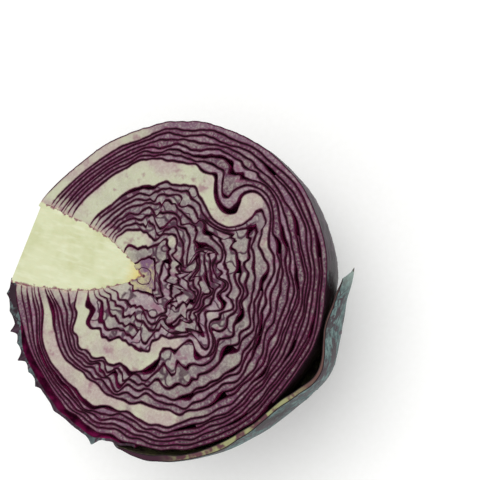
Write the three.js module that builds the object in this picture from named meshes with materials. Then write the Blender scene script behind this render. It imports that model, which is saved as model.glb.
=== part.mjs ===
// Half of a red cabbage, cut through the core, lying on its rounded back with the cut face up.
// Millimetres. +X runs along the core to the top of the head, +Z is up, the cut face is level.
import * as THREE from 'three';

// Head
// Distance from the core's tip to the outside on the cut face, every 20 degrees, starting at the top.
const HEAD_RADII = [
  88.5, 87, 84.5, 80.5, 75.5, 69.5, 65, 62.5, 65.5,
  68, 69, 66, 67.5, 71.5, 77, 81, 84.5, 87.5,
];
const HEAD_DEPTH = 79;
const LEAN = 12;
const LEAN_POWER = 1.5;
const FLAT_CUT = 1.3;
const HEART_RADIUS = 7;

// Heart bud round the core's tip: place along the core, radius
const HEART_OUTLINE = [[0.6, 0], [-1.6, 1.9], [-3.8, 3.5], [-4.6, 4.4], [-2.6, 5.9], [1.6, 6.2], [5, 4], [6.4, 0]];

// Core: distance back from the tip, radius
const CORE_PROFILE = [
  [0, 0], [6, 4.2], [11, 7.2], [17, 10], [23, 12.8], [36, 16.4], [50, 18.2], [57, 19.9], [64.4, 20.2],
];
const CORE_SIDES = 6;
// The base end is cut a little askew: slope, and where along the core it comes in
const CORE_END_TILT = 0.125;
const TILT_FROM = 50;
const TILT_TO = 64;
const CORE_GAP = 0.45;

// Leaves: the gap between two, the least thickness and the part of a run it may take, and how much the
// thickness swells along a leaf
const LEAF_GAP = 0.45;
const LEAST_BLADE = 0.95;
const LEAST_PART = 0.7;
const BUMP_SHARE = 0.24;
// Each leaf thins towards its free margin: by this share, over these degrees
const MARGIN_SHARE = 0.55;
const MARGIN_WIDTH = 44;
// Beyond a margin the neighbours close up: degrees past the margin, and over how many
const CLOSE_FROM = 3;
const CLOSE_OVER = 6;
// Degrees below the cut at which ribs and open pockets fade, and between which all leaves turn even
const RIB_DIP = 30;
const POCKET_DIP = 34;
const EVEN_FROM = 50;
const EVEN_TO = 80;

// A leaf. side: 1 grows from the core's upper side, -1 from its lower side. blade: mm. end: the free margin,
// degrees from the core. rib: mm more near the core, as far as fade says. under: degrees the leaf reaches
// past the core's underside. pockets: open room inside the leaf, as [degrees from the core, width, mm]
function leafOf(name, side, blade, end, more = {}) {
  return { name, side, blade, end, rib: 0, fade: [30, 90], under: 3 + (end % 6), pockets: [], ...more };
}

// All leaves from the outside in
const LEAVES = [
  leafOf('wrapper_loose', -1, 2.4, 187, { start: [[0, 98], [12, 84], [24, 52], [34, 0]], closed: 48 }),
  leafOf('wrapper_torn', -1, 1.6, 104, { rib: 0.6, pockets: [[56, 12, 1]] }),
  leafOf('leaf_u1', 1, 1.9, 206, { rib: 5.2, fade: [44, 112] }),
  leafOf('leaf_l1', -1, 1.8, 200, { rib: 1.2 }),
  leafOf('leaf_l2', -1, 1.6, 176, { rib: 1 }),
  leafOf('leaf_u2', 1, 1.7, 214, { rib: 0.4 }),
  leafOf('leaf_l3', -1, 1.6, 230, { rib: 0.8, pockets: [[50, 12, 1.4]] }),
  leafOf('leaf_u3', 1, 1.8, 186, { rib: 0.6 }),
  leafOf('leaf_l4', -1, 1.6, 208, { pockets: [[66, 10, 1.6]] }),
  leafOf('leaf_u4', 1, 1.8, 232, { rib: 0.6 }),
  leafOf('leaf_l5', -1, 1.7, 190, { pockets: [[80, 10, 1.2]] }),
  leafOf('leaf_u5', 1, 1.7, 198, { pockets: [[112, 13, 1]] }),
  leafOf('rib_leaf_low', -1, 2.2, 205, { pockets: [[20, 12, 1.6]] }),
  leafOf('leaf_u6', 1, 1.6, 216),
  leafOf('leaf_l6', -1, 1.7, 203),
  leafOf('leaf_u7', 1, 1.6, 190, { pockets: [[124, 10, 0.8]] }),
  leafOf('leaf_l7', -1, 1.7, 170),
  leafOf('rib_leaf_high', 1, 2.4, 228, { pockets: [[70, 12, 0.8]] }),
  leafOf('leaf_l8', -1, 1.8, 188, { pockets: [[88, 9, 0.8]] }),
  leafOf('leaf_u8', 1, 1.9, 200),
  leafOf('leaf_l9', -1, 1.8, 218),
  leafOf('leaf_u9', 1, 1.9, 182),
  leafOf('leaf_l10', -1, 1.8, 196, { pockets: [[104, 9, 1.6]] }),
  leafOf('leaf_u10', 1, 1.9, 210),
  leafOf('rib_leaf_wave', -1, 2.4, 224, { pockets: [[34, 14, 1.8]] }),
  leafOf('leaf_u11', 1, 1.9, 178),
  leafOf('leaf_l11', -1, 2, 216, { rib: 0.8, pockets: [[50, 14, 0.8]] }),
  leafOf('leaf_u12', 1, 1.8, 203),
  leafOf('leaf_l12', -1, 1.9, 186),
  leafOf('leaf_u13', 1, 1.8, 217),
  leafOf('leaf_l13', -1, 1.9, 205),
  leafOf('leaf_u14', 1, 1.8, 190),
  leafOf('leaf_l14', -1, 1.9, 219),
  leafOf('rib_leaf_heart', 1, 2.2, 212),
  leafOf('leaf_l15', -1, 1.8, 214),
  leafOf('leaf_u15', 1, 1.7, 220),
];

// The four leaves with thick pale ribs lie where the cut shows them. outer: how far out the outer face is,
// as a share of the way from the heart to the rim, every 20 degrees. width: [degrees, share of that way]
const RIBS = [
  { name: 'rib_leaf_low',
    outer: [
      0.79, 0.79, 0.8, 0.8, 0.79, 0.79, 0.8, 0.8, 0.79,
      0.77, 0.76, 0.85, 0.86, 0.82, 0.78, 0.81, 0.81, 0.8,
    ],
    width: [[-180, 0.05], [-160, 0.07], [-140, 0.13], [-120, 0.11], [-108, 0.13], [-97, 0.11], [-80, 0.08],
      [-64, 0.09], [-50, 0.05], [-38, 0.03], [60, 0.015]] },
  { name: 'rib_leaf_high',
    outer: [
      0.66, 0.68, 0.7, 0.66, 0.71, 0.74, 0.74, 0.73, 0.72,
      0.68, 0.62, 0.64, 0.68, 0.64, 0.61, 0.64, 0.69, 0.68,
    ],
    width: [[-60, 0.014], [0, 0.018], [17, 0.03], [27, 0.055], [35, 0.1], [43, 0.115], [53, 0.13], [73, 0.15],
      [100, 0.18], [140, 0.2], [180, 0.17]] },
  { name: 'rib_leaf_wave',
    outer: [
      0.44, 0.44, 0.4, 0.38, 0.4, 0.42, 0.43, 0.42, 0.41,
      0.42, 0.48, 0.54, 0.6, 0.54, 0.48, 0.42, 0.43, 0.44,
    ],
    width: [[-180, 0.08], [-150, 0.11], [-120, 0.16], [-100, 0.18], [-80, 0.14], [-60, 0.1], [-42, 0.06], [-20, 0.04],
      [20, 0.03], [60, 0.015]] },
  { name: 'rib_leaf_heart',
    outer: [
      0.16, 0.16, 0.16, 0.16, 0.17, 0.2, 0.25, 0.28, 0.28,
      0.22, 0.16, 0.13, 0.12, 0.12, 0.12, 0.13, 0.14, 0.15,
    ],
    width: [[-60, 0.02], [0, 0.03], [60, 0.05], [90, 0.08], [120, 0.13], [180, 0.12]] },
];
const RIB_BLEND_DIP = 38;
const FIT_TURNS = 12;

// The loose wrapper stands off the head. Each: mm, where round the head and how wide, at what dip and how far
const HOLLOW = { reach: 6, at: -12, width: 9, dip: 0, over: 16 };
const BULGE = { reach: 3.5, at: -14, width: 38, dip: 18, over: 12 };

// Ripples that run round the head: mm, waves round the head, turns per mm of depth, phase
const RIPPLES = [[1, 9, 0.16, 1], [0.6, 15, -0.3, 2.2]];
const RIPPLE_DIP = 40;
// They spare the leaves by the core, the heart, and calm down towards the outside
const RIPPLE_SIDE = 130;
const RIPPLE_HEART = 8;
const RIPPLE_RIM = 95;
const RIPPLE_CALM = 24;
const RIPPLE_LEAST = 0.2;

// Folds: each turns the leaves about a point of the cut face. x, y, reach, turn in degrees
const FOLDS = [
  [37.5, 42.5, 20.5, 104],
  [13.5, -32, 13, 42],
  [33.5, -26, 14, -72],
  [32, 15, 11, -55],
  [24, 2, 9, 55],
  [17, -16, 9, -36],
  [4, 30, 9, 45],
];
const FOLD_DEPTH = 1.5;

// Mesh shared by all leaves: degrees between its columns round the head, finer over the great fold.
// Its rows go down to the lowest point, and deeper rows keep fewer of the columns
const COLUMN_STEP = 6;
const COLUMN_STEP_FINE = 3;
const FINE_RANGE = [0, 72];
const ROWS = [
  { dip: 0, every: 1 },
  { dip: 8, every: 2 },
  { dip: 22, every: 4 },
  { dip: 42, every: 8 },
  { dip: 66, every: 8 },
  { dip: 83, every: 8 },
];
// The mesh opens round the core: degrees over which it is pushed aside
const OPENING = 60;

const DEG = Math.PI / 180;
const clamp01 = (t) => Math.min(Math.max(t, 0), 1);

function smooth(from, to, x) {
  const t = clamp01((x - from) / (to - from));
  return t * t * (3 - 2 * t);
}

function along(points, x) {
  for (let k = 1; k < points.length; k += 1) {
    const [x0, y0] = points[k - 1];
    const [x1, y1] = points[k];
    if (x <= x1) {
      return y0 + (y1 - y0) * clamp01((x - x0) / (x1 - x0));
    }
  }
  return points[points.length - 1][1];
}

// Smooth closed curve through values given every 20 degrees
function round(values, phi) {
  const n = values.length;
  const t = ((((phi % 360) + 360) % 360) * n) / 360;
  const i = Math.floor(t);
  const f = t - i;
  const [p0, p1, p2, p3] = [-1, 0, 1, 2].map((k) => values[(i + k + n) % n]);
  const cubic = -p0 + 3 * p1 - 3 * p2 + p3;
  const square = 2 * p0 - 5 * p1 + 4 * p2 - p3;
  return 0.5 * (2 * p1 + (p2 - p0) * f + square * f * f + cubic * f * f * f);
}

function headRadius(phi, dip) {
  const level = Math.cos(dip * DEG) / round(HEAD_RADII, phi);
  const down = Math.sin(dip * DEG) / HEAD_DEPTH;
  return 1 / Math.hypot(level, down);
}

// Room under the loose wrapper
function standoff(phi, dip) {
  const swelling = ({ reach, at, width, dip: deep, over }) => {
    const round = (phi - at) / width;
    const down = (dip - deep) / over;
    return reach * Math.exp(-round * round - down * down);
  };
  return swelling(HOLLOW) + swelling(BULGE);
}

// Angle round the head from the core's direction, on the leaf's own side
function fromCore(leaf, phi) {
  const a = leaf.side > 0 ? 180 - phi : 180 + phi;
  return a > 300 ? a - 360 : a;
}

function leafStart(leaf, dip) {
  return leaf.start ? along(leaf.start, dip) : -leaf.under * smooth(0, ROWS[1].dip, dip);
}

function isClosed(leaf, dip) {
  return leaf.closed !== undefined && dip > leaf.closed;
}

// 1 where the leaf is, falling to 0 beyond its margins so that its neighbours close up
function present(leaf, a, dip) {
  if (isClosed(leaf, dip)) {
    return 1;
  }
  const soft = leaf.start ? 1 : smooth(0, ROWS[1].dip, dip);
  const before = leafStart(leaf, dip) - a - CLOSE_FROM * soft;
  const after = a - leaf.end - CLOSE_FROM;
  const opens = 1 - clamp01(before / (0.5 + CLOSE_OVER * soft));
  const ends = 1 - clamp01(after / CLOSE_OVER);
  return opens * ends;
}

function bumps(a, k) {
  const t = a * DEG;
  const slow = 0.5 * Math.sin(5 * t + 2.1 * k);
  return slow + 0.35 * Math.sin(9 * t + 3.7 * k) + 0.3 * Math.sin(14 * t + 1.3 * k);
}

// Thickness of leaf k and of the room inside it, before they are fitted to the head
function layer(k, phi, dip) {
  const leaf = LEAVES[k];
  const a = fromCore(leaf, phi);
  const even = smooth(EVEN_FROM, EVEN_TO, dip);
  const here = present(leaf, a, dip);
  const margin = 1 - MARGIN_SHARE * smooth(leaf.end - MARGIN_WIDTH, leaf.end, a);
  const rib = leaf.rib * (1 - smooth(leaf.fade[0], leaf.fade[1], a)) * Math.exp(-((dip / RIB_DIP) ** 2));
  const blade = leaf.blade * (1 + BUMP_SHARE * bumps(a, k)) * margin;
  let room = LEAF_GAP;
  for (const [at, width, size] of leaf.pockets) {
    room += size * Math.exp(-(((a - at) / width) ** 2)) * (1 - smooth(0, POCKET_DIP, dip));
  }
  const thick = (blade + rib) * here;
  return {
    thick: thick + (leaf.blade - thick) * even,
    room: room * here + (LEAF_GAP - room * here) * even,
    least: LEAST_BLADE * (here + (1 - here) * even),
  };
}

function coreRadius(back) {
  return along(CORE_PROFILE, back);
}

// Angle from the core's axis at which a sphere of this radius comes out of the core
function coreAngle(radius) {
  let low = 0;
  let high = 90;
  for (let k = 0; k < 30; k += 1) {
    const mid = (low + high) / 2;
    const inside = radius * Math.sin(mid * DEG) < coreRadius(radius * Math.cos(mid * DEG));
    low = inside ? mid : low;
    high = inside ? high : mid;
  }
  return high + CORE_GAP / radius / DEG;
}

// Direction of a mesh point, as angles round the head and downwards, once the core is let through
function direction(point, radius) {
  const c = coreAngle(radius);
  let fromAxis = c;
  let beta = point.beta;
  if (beta === undefined) {
    const level = Math.cos(point.dip * DEG);
    const back = -level * Math.cos(point.phi * DEG);
    const across = level * Math.sin(point.phi * DEG);
    const down = Math.sin(point.dip * DEG);
    const angle = Math.atan2(Math.hypot(across, down), back) / DEG;
    fromAxis = angle < OPENING ? c + (angle * (OPENING - c)) / OPENING : angle;
    beta = Math.atan2(down, across) / DEG;
  }
  const side = Math.sin(fromAxis * DEG);
  const x = -Math.cos(fromAxis * DEG);
  const y = side * Math.cos(beta * DEG);
  const z = side * Math.sin(beta * DEG);
  return { phi: Math.atan2(y, x) / DEG, dip: point.dip === 0 ? 0 : Math.atan2(z, Math.hypot(x, y)) / DEG };
}

// Bends every point of the head alike: ripples, folds and lean
function bend([x, y, z]) {
  const level = Math.max(Math.hypot(x, y), 0.001);
  const phi = Math.atan2(y, x);
  const dip = Math.atan2(-z, level) / DEG;
  const full = Math.hypot(level, z);
  const clear = smooth(0, 40, RIPPLE_SIDE - Math.abs(phi) / DEG) * clamp01((full - RIPPLE_HEART) / 14);
  const quiet = Math.min(Math.max((RIPPLE_RIM - full) / RIPPLE_CALM, RIPPLE_LEAST), 1);
  const calm = quiet * (1 - smooth(0, RIPPLE_DIP, dip));
  let push = 0;
  for (const [size, waves, turn, phase] of RIPPLES) {
    push += size * Math.sin(waves * phi + turn * full + phase);
  }
  const grow = 1 + (push * clear * calm) / level;
  let px = x * grow;
  let py = y * grow;
  for (const [cx, cy, reach, turn] of FOLDS) {
    const dx = px - cx;
    const dy = py - cy;
    const far = (dx * dx + dy * dy + (z * z) / (FOLD_DEPTH * FOLD_DEPTH)) / (reach * reach);
    const angle = turn * DEG * clamp01(1 - far) ** 2;
    px = cx + dx * Math.cos(angle) - dy * Math.sin(angle);
    py = cy + dx * Math.sin(angle) + dy * Math.cos(angle);
  }
  const lean = LEAN * Math.max(-z / HEAD_DEPTH, 0) ** LEAN_POWER;
  return [px + lean, py, z];
}

function place(radius, phi, dip) {
  const level = radius * Math.cos(dip * DEG);
  const down = dip === 0 ? 0 : -radius * Math.sin(dip * DEG);
  return bend([level * Math.cos(phi * DEG), level * Math.sin(phi * DEG), down]);
}

// The mesh shared by all leaves, so that facing leaves match: points, and triangles by point number
function sharedMesh() {
  const phis = [];
  for (let phi = -180; phi < 180;) {
    phis.push(phi);
    const fine = phi >= FINE_RANGE[0] && phi < FINE_RANGE[1];
    phi += fine ? COLUMN_STEP_FINE : COLUMN_STEP;
  }
  const points = [];
  const rows = ROWS.map(({ dip, every }) => phis.map((phi, i) => {
    if (i % every === 0) {
      points.push({ phi, dip });
    }
    return points.length - 1;
  }));
  const n = phis.length;
  const triangles = [];
  for (let r = 1; r < ROWS.length; r += 1) {
    const fine = ROWS[r - 1].every;
    const coarse = ROWS[r].every;
    for (let i = 0; i < n; i += coarse) {
      const next = (i + coarse) % n;
      const half = (i + fine) % n;
      const [a, b, c, d] = [rows[r - 1][i], rows[r - 1][next], rows[r][i], rows[r][next]];
      const middle = rows[r - 1][half];
      triangles.push([a, c, middle]);
      triangles.push([middle, c, d]);
      if (fine !== coarse) {
        triangles.push([middle, d, b]);
      }
    }
  }
  const last = ROWS.length - 1;
  const pole = points.length;
  points.push({ phi: 0, dip: 90 });
  for (let i = 0; i < n; i += ROWS[last].every) {
    triangles.push([rows[last][i], pole, rows[last][(i + ROWS[last].every) % n]]);
  }
  // Open it round the core: the point on the core's axis becomes a half ring on the core's skin
  const ring = [];
  for (let s = 0; s <= CORE_SIDES; s += 1) {
    const beta = (180 * s) / CORE_SIDES;
    const dip = ROWS[1].dip * Math.sin(beta * DEG) ** 2;
    ring.push(points.length);
    points.push({ phi: beta > 90 ? -180 : 180, dip, beta });
  }
  const axis = rows[0][0];
  const step = ROWS[1].every;
  const [upperRim, upperRow, under] = [rows[0][n - 1], rows[1][n - step], rows[1][0]];
  const [lowerRow, lowerRim] = [rows[1][step], rows[0][1]];
  const joins = (triangle, ids) => ids.every((id) => triangle.includes(id));
  const cut = [[axis], [upperRim, upperRow, under], [lowerRim, under, lowerRow]];
  const kept = triangles.filter((triangle) => !cut.some((ids) => joins(triangle, ids)));
  kept.push(
    [upperRim, ring[1], ring[0]], [upperRim, upperRow, ring[1]], [upperRow, ring[2], ring[1]],
    [upperRow, under, ring[2]], [under, ring[3], ring[2]], [under, ring[4], ring[3]],
    [under, lowerRow, ring[4]], [lowerRow, ring[5], ring[4]], [lowerRow, lowerRim, ring[5]],
    [lowerRim, ring[6], ring[5]],
  );
  return { points, triangles: kept };
}
const MESH = sharedMesh();

// Where both faces of every leaf lie in one direction, as shares of the way from the heart to the rim
function sharesAt({ phi, dip }) {
  const layers = LEAVES.map((leaf, k) => layer(k, phi, dip));
  const way = headRadius(phi, dip) - HEART_RADIUS;
  const room = (list) => list.reduce((sum, item) => sum + item.thick + item.room, 0);
  const total = room(layers);
  const even = smooth(0, RIB_BLEND_DIP, dip);
  const shares = [];
  let top = 1;
  let first = 0;
  let above = 0;
  // All leaves of a run shrink or swell alike to fill it, and none gets thinner than the least
  const fill = (last, bottom) => {
    const run = layers.slice(first, last);
    const leastOfAll = run.reduce((sum, item) => sum + item.least, 0);
    const scale = Math.min(1 / way, (LEAST_PART * (top - bottom)) / leastOfAll);
    const thickness = (item, fit) => Math.max(item.thick * fit, item.least * scale);
    let fit = (top - bottom) / (above + room(run));
    for (let turn = 0; turn < FIT_TURNS; turn += 1) {
      const taken = run.reduce((sum, item) => sum + thickness(item, fit) + item.room * fit, above * fit);
      fit *= (top - bottom) / taken;
    }
    let at = top - above * fit;
    for (const item of run) {
      const inner = at - thickness(item, fit);
      shares.push([at, inner]);
      at = inner - item.room * fit;
    }
  };
  for (const rib of RIBS) {
    const k = LEAVES.findIndex((leaf) => leaf.name === rib.name);
    const evenOuter = 1 - room(layers.slice(0, k)) / total;
    const here = present(LEAVES[k], fromCore(LEAVES[k], phi), dip);
    const shown = along(rib.width, phi) * here;
    const outer = round(rib.outer, phi) * (1 - even) + evenOuter * even;
    const width = shown * (1 - even) + (layers[k].thick / total) * even;
    fill(k, outer);
    shares.push([outer, outer - width]);
    top = outer - width;
    above = layers[k].room;
    first = k + 1;
  }
  fill(LEAVES.length, 0);
  return shares;
}
MESH.points.forEach((point) => {
  point.shares = sharesAt(point);
});

// Place of one face of leaf k (0 outer, 1 inner) at a mesh point
function facePoint(k, face, point) {
  let radius = 60;
  let way = { phi: point.phi, dip: point.dip };
  for (let turn = 0; turn < 6; turn += 1) {
    way = point.dip === 90 ? way : direction(point, radius);
    const head = headRadius(way.phi, way.dip);
    radius = HEART_RADIUS + (head - HEART_RADIUS) * point.shares[k][face];
    radius += k === 0 ? standoff(way.phi, way.dip) : 0;
  }
  return place(radius, way.phi, way.dip);
}

function holds(leaf, point) {
  if (point.dip === 90) {
    return true;
  }
  if (point.beta !== undefined) {
    return !leaf.start && (leaf.side > 0 ? point.beta <= 90 : point.beta >= 90);
  }
  if (isClosed(leaf, point.dip)) {
    return true;
  }
  const a = fromCore(leaf, point.phi);
  return a >= leafStart(leaf, point.dip) - CLOSE_FROM && a <= leaf.end + CLOSE_FROM;
}

function geometryFrom(points, triangles) {
  const geometry = new THREE.BufferGeometry();
  geometry.setAttribute('position', new THREE.Float32BufferAttribute(points.flat(), 3));
  geometry.setIndex(triangles.flat());
  geometry.computeVertexNormals();
  return geometry;
}

// A closed sheet from its two faces: the inner face mirrors the outer one and walls join their edges
function sheet(outer, inner, triangles) {
  const n = outer.length;
  const all = triangles.flatMap(([p, q, r]) => [[p, q, r], [n + p, n + r, n + q]]);
  const edges = new Set(triangles.flatMap(([p, q, r]) => [`${p} ${q}`, `${q} ${r}`, `${r} ${p}`]));
  for (const edge of edges) {
    const [p, q] = edge.split(' ').map(Number);
    if (!edges.has(`${q} ${p}`)) {
      all.push([q, p, n + p], [q, n + p, n + q]);
    }
  }
  return geometryFrom([...outer, ...inner], all);
}

// Lowest point of the outside, and the small flat spot the head rests on
const LOWEST = place(headRadius(0, 90), 0, 90)[2];

function flatten([x, y, z]) {
  return [x, y, Math.max(z, LOWEST + FLAT_CUT)];
}

function leafGeometry(k) {
  const isHeld = (id) => holds(LEAVES[k], MESH.points[id]);
  const held = MESH.triangles.filter((triangle) => triangle.every(isHeld));
  const used = [...new Set(held.flat())];
  const outer = used.map((id) => flatten(facePoint(k, 0, MESH.points[id])));
  const inner = used.map((id) => facePoint(k, 1, MESH.points[id]));
  return sheet(outer, inner, held.map((triangle) => triangle.map((id) => used.indexOf(id))));
}

// Half a turned body about the core's axis. The outline starts and ends on the axis, back to front
function halfTurned(outline) {
  const points = [];
  const rings = outline.map(([x, radius]) => {
    const ring = [];
    for (let s = 0; s <= CORE_SIDES; s += 1) {
      const beta = (Math.PI * s) / CORE_SIDES;
      if (radius === 0 && s > 0) {
        ring.push(ring[0]);
        continue;
      }
      const y = radius * Math.cos(beta);
      const z = s === 0 || s === CORE_SIDES ? 0 : -radius * Math.sin(beta);
      const tilt = CORE_END_TILT * y * smooth(TILT_FROM, TILT_TO, -x);
      ring.push(points.length);
      points.push(bend([x + tilt, y, z]));
    }
    return ring;
  });
  const triangles = [];
  for (let k = 1; k < rings.length; k += 1) {
    for (let s = 0; s < CORE_SIDES; s += 1) {
      const [p, q, r, t] = [rings[k - 1][s], rings[k][s], rings[k][s + 1], rings[k - 1][s + 1]];
      triangles.push([p, q, r], [p, r, t]);
    }
  }
  const flat = outline.map(([x, radius]) => new THREE.Vector2(x, radius));
  for (const [p, q, r] of THREE.ShapeUtils.triangulateShape(flat, [])) {
    const up = THREE.ShapeUtils.area([flat[p], flat[q], flat[r]]) > 0;
    const near = up ? [p, q, r] : [p, r, q];
    triangles.push(near.map((i) => rings[i][0]));
    triangles.push([near[0], near[2], near[1]].map((i) => rings[i][CORE_SIDES]));
  }
  const solid = triangles.filter(([p, q, r]) => p !== q && q !== r && r !== p);
  return geometryFrom(points, solid);
}

const MATERIALS = {
  core: new THREE.MeshStandardMaterial({ name: 'core_flesh', color: 0xd9dfb0, roughness: 0.6 }),
  heart: new THREE.MeshStandardMaterial({ name: 'heart_flesh', color: 0xd8d8b4, roughness: 0.6 }),
  rib: new THREE.MeshStandardMaterial({ name: 'rib_flesh', color: 0xcfcdbd, roughness: 0.6 }),
  leaf: new THREE.MeshStandardMaterial({ name: 'leaf_flesh', color: 0x8a5f86, roughness: 0.55 }),
  outer: new THREE.MeshStandardMaterial({ name: 'outer_skin', color: 0x4b5a68, roughness: 0.6 }),
};

function leafMaterial(name) {
  if (name.startsWith('wrapper') || name === 'leaf_u1') {
    return MATERIALS.outer;
  }
  return name.startsWith('rib') ? MATERIALS.rib : MATERIALS.leaf;
}

const cabbage = new THREE.Group();
cabbage.name = 'cabbage_half';

function add(name, geometry, material) {
  const mesh = new THREE.Mesh(geometry, material);
  mesh.name = name;
  cabbage.add(mesh);
}

const coreEnd = [-CORE_PROFILE[CORE_PROFILE.length - 1][0], 0];
const coreOutline = [coreEnd, ...CORE_PROFILE.toReversed().map(([back, radius]) => [-back, radius])];
add('core', halfTurned(coreOutline), MATERIALS.core);
add('heart', halfTurned(HEART_OUTLINE), MATERIALS.heart);
LEAVES.forEach((leaf, k) => add(leaf.name, leafGeometry(k), leafMaterial(leaf.name)));

// Bottom centre of the whole to the origin
const box = new THREE.Box3().setFromObject(cabbage);
const middle = box.getCenter(new THREE.Vector3());
for (const mesh of cabbage.children) {
  mesh.geometry.translate(-middle.x, -middle.y, -box.min.z);
}

export default cabbage;
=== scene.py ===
# %% [markdown]
# # Half of a red cabbage
#
# A red cabbage was cut in half through its core. The half lies on its rounded back with the cut face up.
# The leaves are thin sheets that grow from the core and wrap round the head, and the cut shows each one
# as a strip: dark purple skin on both sides and pale flesh between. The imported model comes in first,
# because every piece here stands for a solid in it.

# %% Load the frame
import math

import bpy
import numpy as np
from mathutils import Matrix, Vector


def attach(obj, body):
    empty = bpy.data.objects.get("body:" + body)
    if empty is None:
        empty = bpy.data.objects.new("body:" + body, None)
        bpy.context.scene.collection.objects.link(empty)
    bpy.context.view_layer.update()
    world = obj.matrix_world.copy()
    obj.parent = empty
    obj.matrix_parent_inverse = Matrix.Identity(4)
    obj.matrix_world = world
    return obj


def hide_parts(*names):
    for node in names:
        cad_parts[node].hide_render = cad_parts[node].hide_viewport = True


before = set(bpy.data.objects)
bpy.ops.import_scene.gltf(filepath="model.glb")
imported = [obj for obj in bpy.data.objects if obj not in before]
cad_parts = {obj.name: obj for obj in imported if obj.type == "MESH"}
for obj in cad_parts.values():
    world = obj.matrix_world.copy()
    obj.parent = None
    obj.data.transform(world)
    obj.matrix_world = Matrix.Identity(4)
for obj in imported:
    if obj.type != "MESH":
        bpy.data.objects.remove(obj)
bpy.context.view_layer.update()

MM = 0.001

# The drawing's zero is the core's tip on the cut face; the model's zero is under the middle of the half
TIP = np.array([-12.92, 0.79, 77.7])

# %% [markdown]
# The camera looks down on the cut face, 22 degrees off its normal and towards the top of the head, and is
# rolled so that the core comes in from the left. It is set before anything is built.

# %% Camera
LENS = 85
camera_data = bpy.data.cameras.new("camera")
camera_data.lens = LENS
camera_data.sensor_width = 36
camera_data.clip_start = 0.01
camera = bpy.data.objects.new("camera", camera_data)
bpy.context.collection.objects.link(camera)
bpy.context.scene.camera = camera
eye = (np.array([228.4, 14.1, 464.5]) + TIP) * MM
right = Vector((0.897, 0.266, -0.354)).normalized()
back = Vector((0.374, -0.026, 0.927)).normalized()
up = back.cross(right).normalized()
right = up.cross(back)
turn = Matrix((right, up, back)).transposed()
camera.matrix_world = Matrix.Translation(Vector(eye)) @ turn.to_4x4()
print("camera at", [round(float(v), 3) for v in eye])

# %% [markdown]
# ## The shape of the head
#
# The outside is given by its distance from the core's tip, every 20 degrees round the cut face, and by one
# depth. A smooth closed curve runs through the distances. Angles go round the cut face from the top of the
# head, and "dip" is the angle below the cut.

# %% Small helpers
HEAD_RADII = [
    88.5, 87, 84.5, 80.5, 75.5, 70.8, 66.8, 64.3, 66,
    68, 69.5, 68.5, 70, 73.8, 79, 82.8, 85.5, 87.5,
]
HEAD_DEPTH = 79
HEART_RADIUS = 7


# 0 at start, 1 at end and a soft step between, also where end is the smaller
def smooth(start, end, x):
    t = np.clip((x - start) / (end - start), 0, 1)
    return t * t * (3 - 2 * t)


def along(points, x):
    table = np.array(points, float)
    return np.interp(x, table[:, 0], table[:, 1])


def closed_curve(values, phi):
    v = np.array(values, float)
    t = (phi % 360) * len(v) / 360
    i = np.floor(t).astype(int)
    f = t - i
    p0, p1, p2, p3 = [v[(i + k) % len(v)] for k in (-1, 0, 1, 2)]
    cubic = -p0 + 3 * p1 - 3 * p2 + p3
    square = 2 * p0 - 5 * p1 + 4 * p2 - p3
    return 0.5 * (2 * p1 + (p2 - p0) * f + square * f**2 + cubic * f**3)


def head_radius(phi, dip):
    level = np.cos(np.radians(dip)) / closed_curve(HEAD_RADII, phi)
    return 1 / np.hypot(level, np.sin(np.radians(dip)) / HEAD_DEPTH)


print("head is", round(2 * max(HEAD_RADII)), "mm across at most")

# %% [markdown]
# ## The leaves
#
# Each leaf grows from the core's upper or lower side and ends at a free margin, some degrees round the
# head. A leaf has a blade thickness, more near the core where its rib is, and here and there an open
# pocket on its inside. Four leaves carry the thick pale ribs that give this half its pattern.

# %% The list of leaves, from the outside in
def leaf(name, side, blade, end, rib=0.0, fade=(30, 90), pockets=(), start=None, closed=None):
    return dict(name=name, side=side, blade=blade, end=end, rib=rib, fade=fade, pockets=pockets,
                start=start, closed=closed, under=3 + end % 6)


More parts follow.
